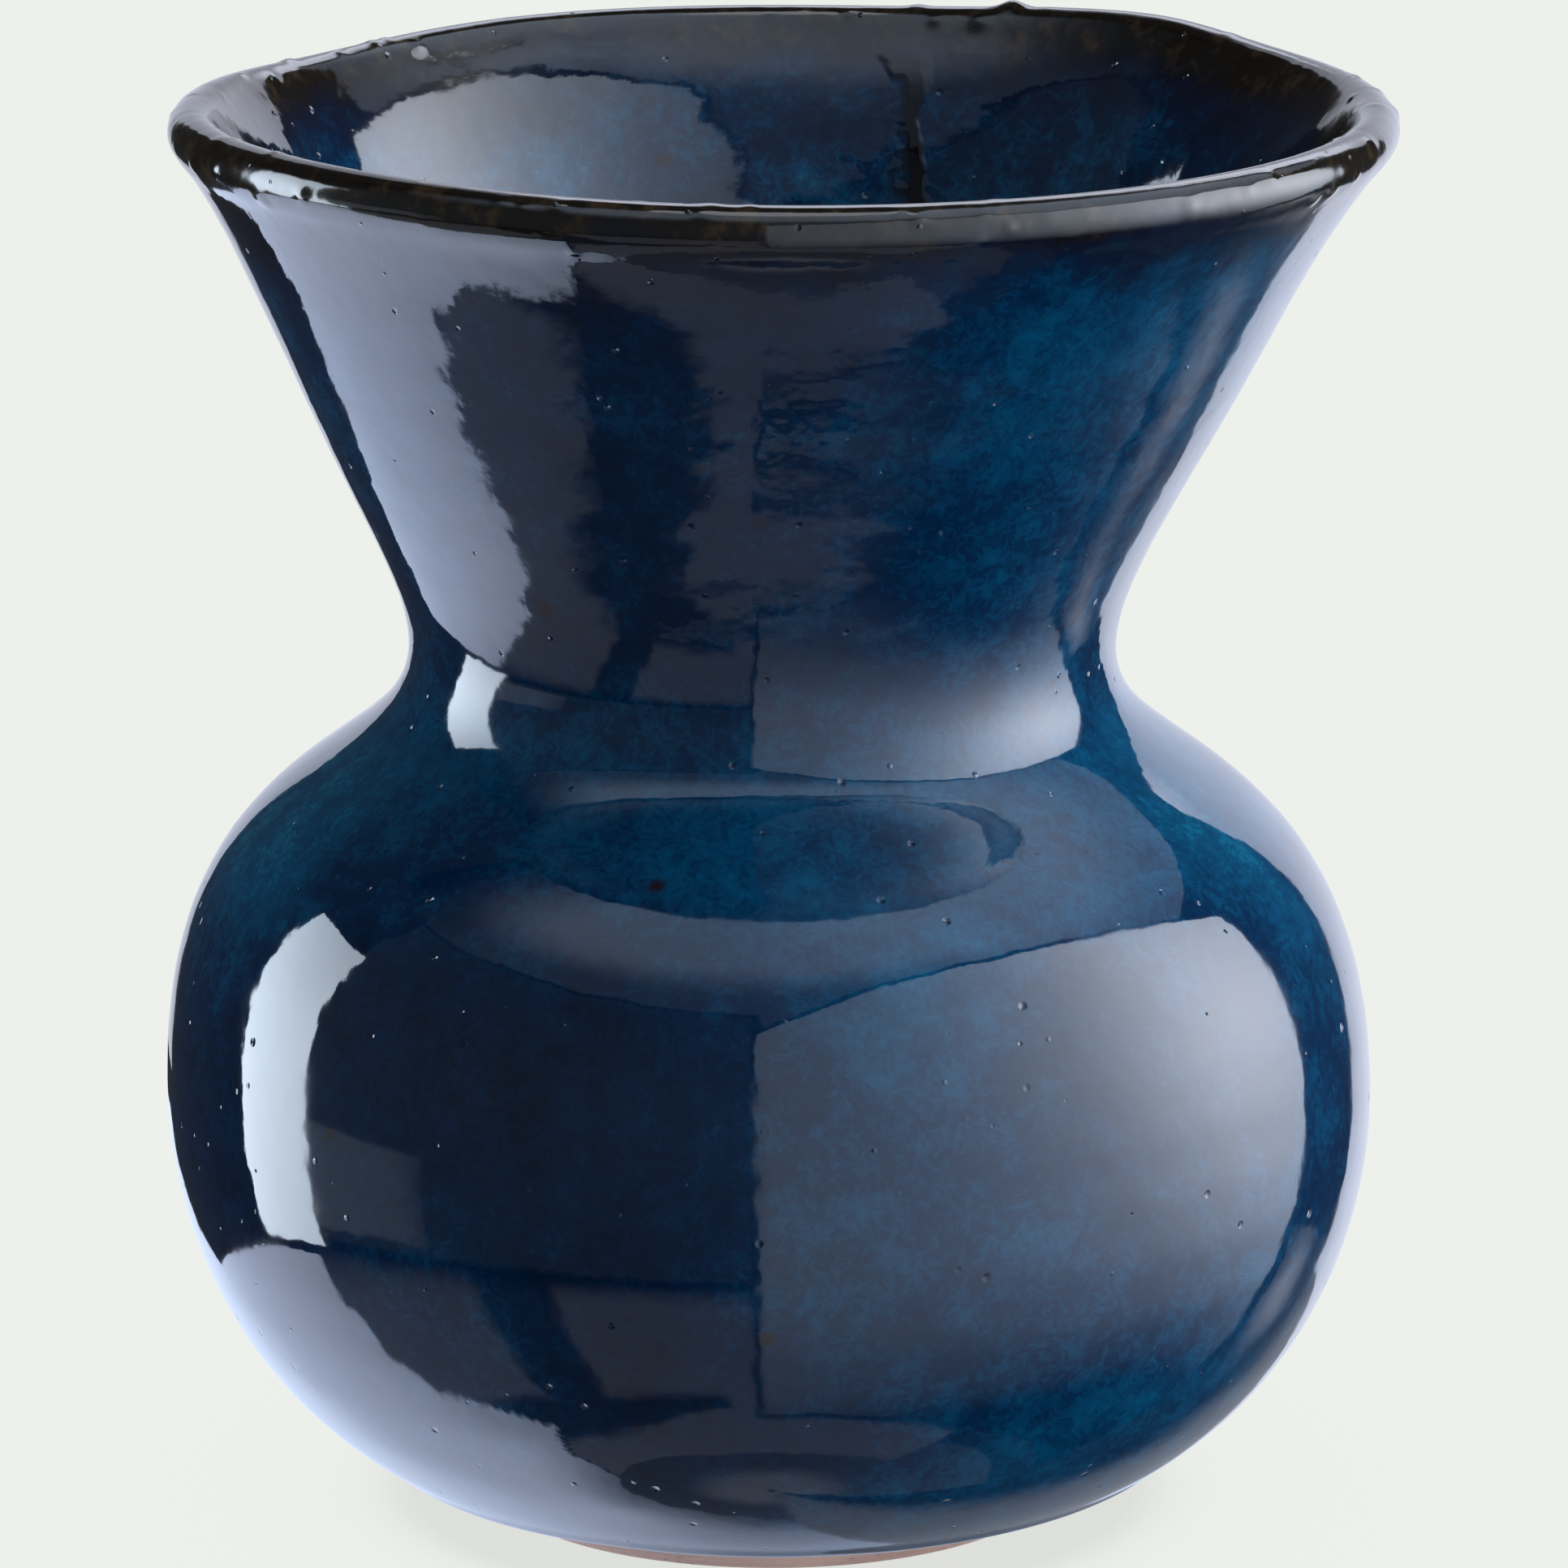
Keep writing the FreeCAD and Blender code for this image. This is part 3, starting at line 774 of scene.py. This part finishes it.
# %% Node group: the dark run
RUN_TURN = math.radians(74.3)
RUN_MIDDLE_HEIGHT, RUN_SLANT = 144 * MM, 0.21
RUN_HALF_WIDTH, RUN_FLAT = 2.2 * MM, 0.3
RUN_BEND_SCALE, RUN_BEND = 140.0, 1.7 * MM
RUN_END, RUN_START = (112 * MM, 138 * MM), (150 * MM, 152.5 * MM)
RUN_BEHIND = 10 * MM


def build_iron_run():
    """Distance across the run = x sin(turn) - y cos(turn) + slant (z - middle), bent by noise."""
    group, given, gives = new_group("iron run", {}, ["Run"])
    vector = given["Vector"]
    place = add(group, "SeparateXYZ", {0: vector}).outputs
    plane = (math.sin(RUN_TURN), -math.cos(RUN_TURN), RUN_SLANT)
    across = vector_node(group, "DOT_PRODUCT", {0: vector, 1: plane})
    across = math_node(group, "SUBTRACT", across, RUN_SLANT * RUN_MIDDLE_HEIGHT)
    bend = fade(group, noise(group, vector, RUN_BEND_SCALE), 0.3, 0.7, -RUN_BEND, RUN_BEND)
    across = math_node(group, "ABSOLUTE", math_node(group, "ADD", across, bend))
    run = fade(group, across, RUN_HALF_WIDTH * RUN_FLAT, RUN_HALF_WIDTH, 1.0, 0.0)
    run = math_node(group, "MULTIPLY", run, fade(group, place["Y"], 0.0, RUN_BEHIND))
    run = math_node(group, "MULTIPLY", run, fade(group, place["Z"], *RUN_END))
    run = math_node(group, "MULTIPLY", run, fade(group, place["Z"], *RUN_START, 1.0, 0.0))
    group.links.new(run, gives["Run"])
    return group


glaze_depth = build_glaze_depth()
glaze_skin = build_glaze_skin()
lip_break = build_lip_break()
iron_run = build_iron_run()
print("node groups:", [group.name for group in bpy.data.node_groups])

# %% [markdown]
# ## The glaze finishes
#
# All three coats share the groups above, so colour and ripple run across the joints. Each finish
# has its own depth of blue, and the two inner ones have the dark run as a low ridge. The gloss is a
# smooth glassy surface of refractive index 1.5, a little rougher where iron shows.

# %% Glaze materials
NAVY = (0.0008, 0.0048, 0.0145, 1)
DEEP_BLUE = (0.0007, 0.0120, 0.0350, 1)
TEAL = (0.0008, 0.0420, 0.0880, 1)
PALE_TEAL = (0.0040, 0.1000, 0.1500, 1)
BLUES = [(0.35, DEEP_BLUE), (0.72, TEAL)]
PLUM_BROWN = (0.0045, 0.0042, 0.0090, 1)
IRON_BROWN = (0.0060, 0.0045, 0.0030, 1)
IRON_RUST = (0.0260, 0.0150, 0.0065, 1)
SPECK_BROWN = (0.0100, 0.0035, 0.0025, 1)
RUN_BLACK = (0.0010, 0.0014, 0.0022, 1)
# The third share weighs the painted light, teal where light falls on the shoulder and the right.
CLOUD_BLUE, FELT_BLUE, LIT_TEAL_SHARE = 0.28, 0.38, 0.34
PLUM_STRENGTH = 0.85
GLOSS_RANGE = (0.03, 0.075)
LIP_ROUGHER = 0.05
RUN_HEIGHT = 0.09 * MM
GLAZE_INDEX = 1.5
RIPPLE, LIP_RIPPLE = 0.06 * MM, 0.09 * MM


def glaze_material(name, blue_share, ripple, has_run=False):
    """Glaze whose blue runs from navy to teal by `blue_share`, with a ripple of this height, and the
    dark run if it has one."""
    material = bpy.data.materials.new(name)
    material.use_nodes = True
    tree = material.node_tree
    surface = tree.nodes["Principled BSDF"]
    place = add(tree, "TexCoord").outputs["Object"]
    depth = use_group(tree, glaze_depth, {"Vector": place})
    skin = use_group(tree, glaze_skin, {"Vector": place, "Ripple": ripple})
    lip = use_group(tree, lip_break, {"Vector": place, "Lip Height": float(VASE_TOP)})
    blue = math_node(tree, "MULTIPLY", depth["Cloud"], CLOUD_BLUE)
    blue = math_node(tree, "MULTIPLY_ADD", depth["Felt"], FELT_BLUE, blue)
    # Painted light: the lit band on the shoulder and the lit patches turn the blue to teal.
    blue = math_node(tree, "MULTIPLY_ADD", depth["Lit Teal"], LIT_TEAL_SHARE, blue)
    ramp = add(tree, "ValToRGB", {0: math_node(tree, "MULTIPLY", blue, blue_share)})
    steps = ramp.color_ramp.elements
    steps[0].color, steps[1].color = NAVY, PALE_TEAL
    for position, shade in BLUES:
        steps.new(position).color = shade
    colour = mix_colours(tree, depth["Speck"], ramp.outputs[0], SPECK_BROWN)
    colour = mix_colours(tree, math_node(tree, "MULTIPLY", lip["Plum"], PLUM_STRENGTH), colour, PLUM_BROWN)
    iron = mix_colours(tree, lip["Rust"], IRON_BROWN, IRON_RUST)
    colour = mix_colours(tree, lip["Iron"], colour, iron)
    height = skin["Height"]
    if has_run:
        run = use_group(tree, iron_run, {"Vector": place})["Run"]
        colour = mix_colours(tree, run, colour, RUN_BLACK)
        height = math_node(tree, "MULTIPLY_ADD", run, RUN_HEIGHT, height)
    # Painted shade: each pinhole's pit is darkened towards navy.
    colour = mix_colours(tree, skin["Pinhole Shade"], colour, NAVY)
    roughness = fade(tree, skin["Gloss Loss"], 0, 1, *GLOSS_RANGE)
    roughness = math_node(tree, "MULTIPLY_ADD", lip["Iron"], LIP_ROUGHER, roughness)
    tree.links.new(colour, surface.inputs["Base Color"])
    tree.links.new(roughness, surface.inputs["Roughness"])
    tree.links.new(bump_from(tree, height), surface.inputs["Normal"])
    surface.inputs["IOR"].default_value = GLAZE_INDEX
    return material


outer_finish = glaze_material("blue glaze outside", 1.0, RIPPLE)
rim_finish = glaze_material("iron glaze on the lip", 0.9, LIP_RIPPLE, True)
inner_finish = glaze_material("blue glaze inside", 1.5, RIPPLE, True)
print("glazes:", [finish.name for finish in (outer_finish, rim_finish, inner_finish)])

# %% [markdown]
# ## Bare stoneware
#
# The foot is left bare, or the glaze would weld the pot to the kiln shelf. Fired stoneware is a
# warm grey-pink, speckled with iron and sand, and the foot still shows the fine rings of the
# turning tool. The rings are noise read from the distance to the axis and the height, and hardly
# from the way round.

# %% Stoneware material
CLAY_PINK = (0.345, 0.175, 0.112, 1)
CLAY_GREY = (0.480, 0.270, 0.172, 1)
CLAY_SPECK = (0.085, 0.045, 0.030, 1)
RING_SCALE, RING_DRIFT, RING_HEIGHT = 1500.0, 0.02, 0.12 * MM
SAND_SCALE, SAND_HEIGHT = 1800.0, 0.05 * MM
CLAY_PATCH_SCALE, PATCH_TONE, RING_TONE = 55.0, 0.6, 0.4
CLAY_SPECK_SCALE, CLAY_SPECK_REACH, CLAY_SPECK_CHANCE = 700.0, (0.15, 0.4), (0.88, 0.92)
CLAY_ROUGHNESS = (0.6, 0.85)


def stoneware_material(name):
    """Matt fired clay with turning rings, sand grain and iron specks."""
    material = bpy.data.materials.new(name)
    material.use_nodes = True
    tree = material.node_tree
    surface = tree.nodes["Principled BSDF"]
    place = add(tree, "TexCoord").outputs["Object"]
    flat = vector_node(tree, "MULTIPLY", {0: place, 1: (1, 1, 0)})
    from_axis = vector_node(tree, "LENGTH", {0: flat})
    around = vector_node(tree, "SCALE", {0: flat, "Scale": RING_DRIFT})
    turned = add(tree, "CombineXYZ", {0: from_axis, 2: height_of(tree, place)}).outputs[0]
    turned = vector_node(tree, "ADD", {0: turned, 1: around})
    rings = noise(tree, turned, RING_SCALE, 3.0)
    grain = noise(tree, place, SAND_SCALE, 3.0)
    patch = noise(tree, place, CLAY_PATCH_SCALE, 4.0)
    distance, chance, _ = scattered(tree, place, CLAY_SPECK_SCALE)
    speck = math_node(tree, "MULTIPLY", fade(tree, distance, *CLAY_SPECK_REACH, 1.0, 0.0),
                      fade(tree, chance, *CLAY_SPECK_CHANCE))
    tone = math_node(tree, "ADD", math_node(tree, "MULTIPLY", patch, PATCH_TONE),
                     math_node(tree, "MULTIPLY", rings, RING_TONE))
    colour = mix_colours(tree, fade(tree, tone, 0.35, 0.65), CLAY_PINK, CLAY_GREY)
    colour = mix_colours(tree, speck, colour, CLAY_SPECK)
    height = math_node(tree, "ADD", math_node(tree, "MULTIPLY", rings, RING_HEIGHT),
                       math_node(tree, "MULTIPLY", grain, SAND_HEIGHT))
    tree.links.new(colour, surface.inputs["Base Color"])
    tree.links.new(fade(tree, grain, *NOISE_RANGE, *CLAY_ROUGHNESS), surface.inputs["Roughness"])
    tree.links.new(bump_from(tree, height), surface.inputs["Normal"])
    return material


clay_finish = stoneware_material("bare stoneware")
print("clay:", clay_finish.name)

# %% [markdown]
# ## Each piece takes its place
#
# The turned surfaces stand for the plain solids of the design, ride on the vase's one body and take
# their finishes.

# %% Finish, body and design node of each piece
PIECES = [
    (outer_coat, outer_finish, "outer_glaze", "blue_glaze"),
    (rim_coat, rim_finish, "rim_glaze", "iron_rim_glaze"),
    (inner_coat, inner_finish, "liner_glaze", "liner_glaze"),
    (clay_pot, clay_finish, "clay_body", "bare_clay"),
]
for piece, finish, node_name, slot_name in PIECES:
    piece.data.materials.append(finish)
    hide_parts(node_name)
    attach(piece, "root")
    print(piece.name, "stands for", node_name, "in", finish.name)

# %% [markdown]
# ## The studio
#
# Glossy dark pottery is lit by what it reflects. The pot stands on a white table with one large
# soft panel on the right, a narrow bright strip on the left, a soft ceiling and a pale backdrop.
# Each of them is a patch of a two metre globe round the pot, given by its directions: the turn
# from the front and the height above the level. A patch shines by a colour stored at each of its
# points, so its edges may be crisp or fade out.

# %% Light cards as patches of a globe
PALE = np.array([0.855, 0.871, 0.830])
GLOBE, GLOBE_STEP = 2.0, 0.03
CARD_STEP = 1.5
cards = []


def glowing_material(name):
    """A surface that shines by the colour stored at its points."""
    material = bpy.data.materials.new(name)
    material.use_nodes = True
    tree = material.node_tree
    tree.nodes.remove(tree.nodes["Principled BSDF"])
    glow = add(tree, "Attribute", attribute_name="glow").outputs["Color"]
    light = add(tree, "Emission", {"Color": glow, "Strength": 1.0}).outputs[0]
    tree.links.new(light, tree.nodes["Material Output"].inputs["Surface"])
    return material


glow_finish = glowing_material("studio light")


def staged_grid(name, points, glow, seen_by_camera):
    """An open grid (rows, columns, 3) that shines by a colour (rows, columns, 3) at each point.

    Quads with no light at any corner are left out, so that they hide nothing behind them."""
    rows, columns = points.shape[:2]
    row = np.arange(rows - 1)[:, None]
    column = np.arange(columns - 1)[None, :]
    first = row * columns + column
    quads = np.stack([first, first + 1, first + columns + 1, first + columns], axis=-1).reshape(-1, 4)
    lit = glow.max(axis=-1).ravel() > 0
    quads = quads[lit[quads].any(axis=1)]
    mesh = bpy.data.meshes.new(name)
    mesh.from_pydata(points.reshape(-1, 3).tolist(), [], quads.tolist())
    colours = np.concatenate([glow, np.ones((rows, columns, 1))], axis=-1)
    layer = mesh.attributes.new("glow", "FLOAT_COLOR", "POINT")
    layer.data.foreach_set("color", colours.ravel())
    mesh.materials.append(glow_finish)
    staged = bpy.data.objects.new(name, mesh)
    bpy.context.scene.collection.objects.link(staged)
    staged.visible_camera = seen_by_camera
    if seen_by_camera:
        staged.visible_diffuse = False
        staged.visible_glossy = False
        staged.visible_shadow = False
    return staged


def card(name, turns, bottom, top, glow):
    """A patch of the globe between two turns from the front, from `bottom` up to `top` degrees
    above the level. Both may be functions of the turn, and `glow` is one of turn and height."""
    turn = np.linspace(*turns, int((turns[1] - turns[0]) / CARD_STEP) + 1)
    lower, upper = (end(turn) if callable(end) else np.full(turn.shape, float(end)) for end in (bottom, top))
    share = np.linspace(0, 1, int((upper.max() - lower.min()) / CARD_STEP) + 1)[:, None]
    height = lower + share * (upper - lower)
    turn = np.broadcast_to(turn, height.shape)
    level = np.cos(np.radians(height))
    direction = np.stack([level * np.sin(np.radians(turn)), -level * np.cos(np.radians(turn)),
                          np.sin(np.radians(height))], axis=-1)
    distance = GLOBE + GLOBE_STEP * len(cards)
    cards.append(staged_grid(name, direction * distance, glow(turn, height), False))


SKY_BLUE = np.array([0.86, 1.04, 1.32])
CLOTH_TINT = np.array([0.93, 1.07, 1.27])
COOL = np.array([0.88, 1.02, 1.18])
NEUTRAL = np.array([0.96, 1.0, 1.10])
LAVENDER = np.array([0.92, 0.97, 1.14])
FLOOR_TINT = np.array([0.96, 1.0, 1.15])
TABLE_TINT = np.array([0.86, 1.0, 1.32])


def tinted(strength, tint):
    """A strength (rows, columns) times a tint of three numbers."""
    return strength[..., None] * tint


PANEL_TURN, PANEL_RISE = 52, 1.35


def panel_top(turn):
    """Upper edge of a flat upright panel: the tangent of its height is PANEL_RISE at the turn that
    the panel faces, and falls off with the cosine of the turn away from there."""
    return np.degrees(np.arctan(PANEL_RISE * np.cos(np.radians(turn - PANEL_TURN))))


def panel_glow(turn, height):
    """A dim cloth with one lamp behind it: low broad bell curves round the lamp, a high narrow one
    at the lamp, and a fade towards the bottom that starts higher under the lamp."""
    foot = np.interp(turn, [0, 50, 90, 110], [-95, -67, -49, -45])
    cloth = 0.9 + 0.8 * bell(turn, 90, 80) + 0.95 * bell(turn, 62, 40) * bell(height, 25, 50)
    cloth = cloth * smoothstep(foot, -10, height)
    lamp = 6.1 * bell(turn, 98, 40) * bell(height, 13, np.where(height > 13, 62, 36))
    return tinted(cloth, CLOTH_TINT) + tinted(lamp, NEUTRAL)


def left_table_top(turn):
    """Far edge of the table on the left: nearly level, rising where it runs back."""
    return np.interp(turn, [-188, -165, -150, -97], [-14, -15, -24, -26])


card("right_panel", (-1.5, 120), -61, panel_top, panel_glow)
card("left_strip", (-115, -94.5), -24, 30,
     lambda turn, height: tinted(3.4 + 6.0 * bell(height, 0, 46), COOL))
card("small_card", (-98, -66), -20, -7,
     lambda turn, height: tinted(0.08 + 0.42 * smoothstep(-60, -75, turn), COOL))


TABLE_EDGE_HEIGHTS = [-74, -67, -64, -61, -58, -54, -50, -26]
TABLE_EDGE_TURNS = [-97, -89, -78, -70, -76, -86, -95, -99]


def left_table_glow(turn, height):
    """White table, brightest at its right end, whose right edge steps in towards the pot at the
    heights between -55 and -66 degrees."""
    edge = np.interp(height, TABLE_EDGE_HEIGHTS, TABLE_EDGE_TURNS)
    bright = 1.75 + 0.9 * bell(turn, -108, 40) - 0.9 * smoothstep(-150, -180, turn)
    return tinted(bright * smoothstep(-80, -62, height) * (turn < edge), TABLE_TINT)


card("left_table", (-188, -69), -74, left_table_top, left_table_glow)
card("dim_wall", (-96, -3), -22, 45,
     lambda turn, height: tinted(0.09 + 0.05 * bell(height, 10, 40), COOL))


def ceiling_edge(turn):
    """Near edge of the ceiling: level on the left, and a line's width above the panel's top edge."""
    return np.where(turn < 0, 46, np.maximum(panel_top(turn) + 1.3, 34))


def ceiling_glow(turn, height):
    """Soft ceiling, brighter on the right, where its near edge also comes lower."""
    right = smoothstep(50, 90, turn)
    edge = smoothstep(50 - 14 * right, 64 - 9 * right, height)
    ends = smoothstep(-118, -70, turn) * smoothstep(152, 138, turn)
    dim = 0.22 + 0.18 * right
    strength = (1.1 + 0.55 * smoothstep(-20, 80, turn)) * (dim + (1 - dim) * edge)
    return tinted(strength * ends, SKY_BLUE)


card("ceiling", (-118, 152), ceiling_edge, 80, ceiling_glow)
card("overhead", (-180, 180), 80, 89.5,
     lambda turn, height: tinted(np.full(turn.shape, 3.0), NEUTRAL))
card("right_backdrop", (146, 186), -24, 50,
     lambda turn, height: tinted(
         (1.5 - 0.65 * smoothstep(150, 176, turn) + 2.2 * smoothstep(22, 32, height))
         * smoothstep(50, 42, height), LAVENDER))
card("left_backdrop", (-174, -160), -14, 50,
     lambda turn, height: tinted(0.85 * smoothstep(50, 40, height), LAVENDER))
card("right_floor", (124, 172), -88, -22,
     lambda turn, height: tinted(
         0.03 + 0.35 * smoothstep(138, 156, turn)
         + 0.9 * bell(height, -28, 8) * bell(turn, 131, 9), NEUTRAL))


def front_low_glow(turn, height):
    """Dim floor before the table and under the panel, with the dark post and foot of a stand on it."""
    post = smoothstep(-61, -58, turn) * smoothstep(-41, -44, turn) * smoothstep(-67, -63, height)
    foot_end = np.interp(height, [-63, -59], [-30, -8])
    foot = smoothstep(-92, -86, turn) * smoothstep(foot_end, foot_end - 6, turn)
    foot = foot * smoothstep(-65.5, -63, height) * smoothstep(-52, -56, height)
    beside_panel = (turn < -3) | (height < -62)
    floor_light = 0.38 - 0.33 * np.maximum(post, foot)
    return tinted(floor_light * smoothstep(-23, -32, height) * beside_panel, FLOOR_TINT)


card("front_low", (-100, 62), -74, -23, front_low_glow)
card("underneath", (-180, 180), -89.5, -66,
     lambda turn, height: tinted(0.16 + 0.34 * smoothstep(-80, -86, height), NEUTRAL))
print("cards:", [thing.name for thing in cards])

# %% [markdown]
# ## The floor
#
# What the eye sees under the pot is a plain pale floor that runs to the horizon in the colour of
# the background, a little darker where the foot keeps the light away. Its faces point up, and from
# behind they let the eye through, so that the pot's underside can be looked at too.

# %% Floor
FLOOR_REACH, FLOOR_DROP, SHADE_RADIUS = 60.0, 0.2 * MM, 41 * MM
CONTACT_SHADE, CONTACT_REACH = 0.14, 3 * MM
SOFT_SHADE, SOFT_REACH = 0.010, 30 * MM
from_axis = np.concatenate([np.linspace(0, 0.25, 120), np.geomspace(0.26, FLOOR_REACH, 30)])[:, None]
floor_turn = np.linspace(2 * np.pi, 0, 97)[None, :]
floor_points = np.stack(np.broadcast_arrays(
    from_axis * np.cos(floor_turn), from_axis * np.sin(floor_turn), -FLOOR_DROP), axis=-1)
beyond_foot = np.clip(np.hypot(floor_points[..., 0], floor_points[..., 1]) - SHADE_RADIUS, 0, None)
floor_shade = 1 - CONTACT_SHADE * np.exp(-beyond_foot / CONTACT_REACH)
floor_shade = floor_shade - SOFT_SHADE * np.exp(-((beyond_foot / SOFT_REACH) ** 2))
floor = staged_grid("floor", floor_points, floor_shade[..., None] * PALE, True)
floor_finish = glowing_material("floor, seen from above")
floor_tree = floor_finish.node_tree
from_behind = add(floor_tree, "NewGeometry").outputs["Backfacing"]
clear = add(floor_tree, "BsdfTransparent").outputs[0]
shows = floor_tree.nodes["Material Output"].inputs["Surface"]
shining = shows.links[0].from_socket
one_sided = add(floor_tree, "MixShader", {0: from_behind, 1: shining, 2: clear}).outputs[0]
floor_tree.links.new(one_sided, shows)
floor.data.materials[0] = floor_finish

# %% [markdown]
# ## Surroundings
#
# The eye sees the pale background colour all round. Everything else gets only a faint fill, so that
# the cards do the lighting.

# %% World
FILL = 0.035
world = bpy.data.worlds.new("studio")
bpy.context.scene.world = world
world.use_nodes = True
world_tree = world.node_tree
is_seen = add(world_tree, "LightPath").outputs["Is Camera Ray"]
surround = mix_colours(world_tree, is_seen, (FILL, FILL, FILL, 1), (*PALE, 1))
world_tree.links.new(surround, world_tree.nodes["Background"].inputs["Color"])

# %% [markdown]
# ## Camera
#
# A long lens from about a metre away, looking down at 14 degrees, keeps the pot's proportions
# almost as in a side drawing while the inside of the mouth still shows.

# %% Camera
VIEW_DOWN = math.radians(14)
VIEW_DISTANCE = 0.9735
VIEW_ASIDE = 1.2 * MM
VIEW_ABOVE_MIDDLE = 2 * MM
lens = bpy.data.cameras.new("camera")
lens.lens = 205
lens.sensor_width = 36
camera = bpy.data.objects.new("camera", lens)
bpy.context.scene.collection.objects.link(camera)
aim = np.array([VIEW_ASIDE, 0, (low[2] + high[2]) / 2 + VIEW_ABOVE_MIDDLE])
camera.location = aim + VIEW_DISTANCE * np.array([0, -math.cos(VIEW_DOWN), math.sin(VIEW_DOWN)])
camera.rotation_euler = (math.pi / 2 - VIEW_DOWN, 0, 0)
bpy.context.scene.camera = camera
bpy.context.scene.view_settings.view_transform = "Standard"

# %% [markdown]
#
# The turned surfaces have to stay at the design's size.

# %% Update the scene
bpy.context.view_layer.update()
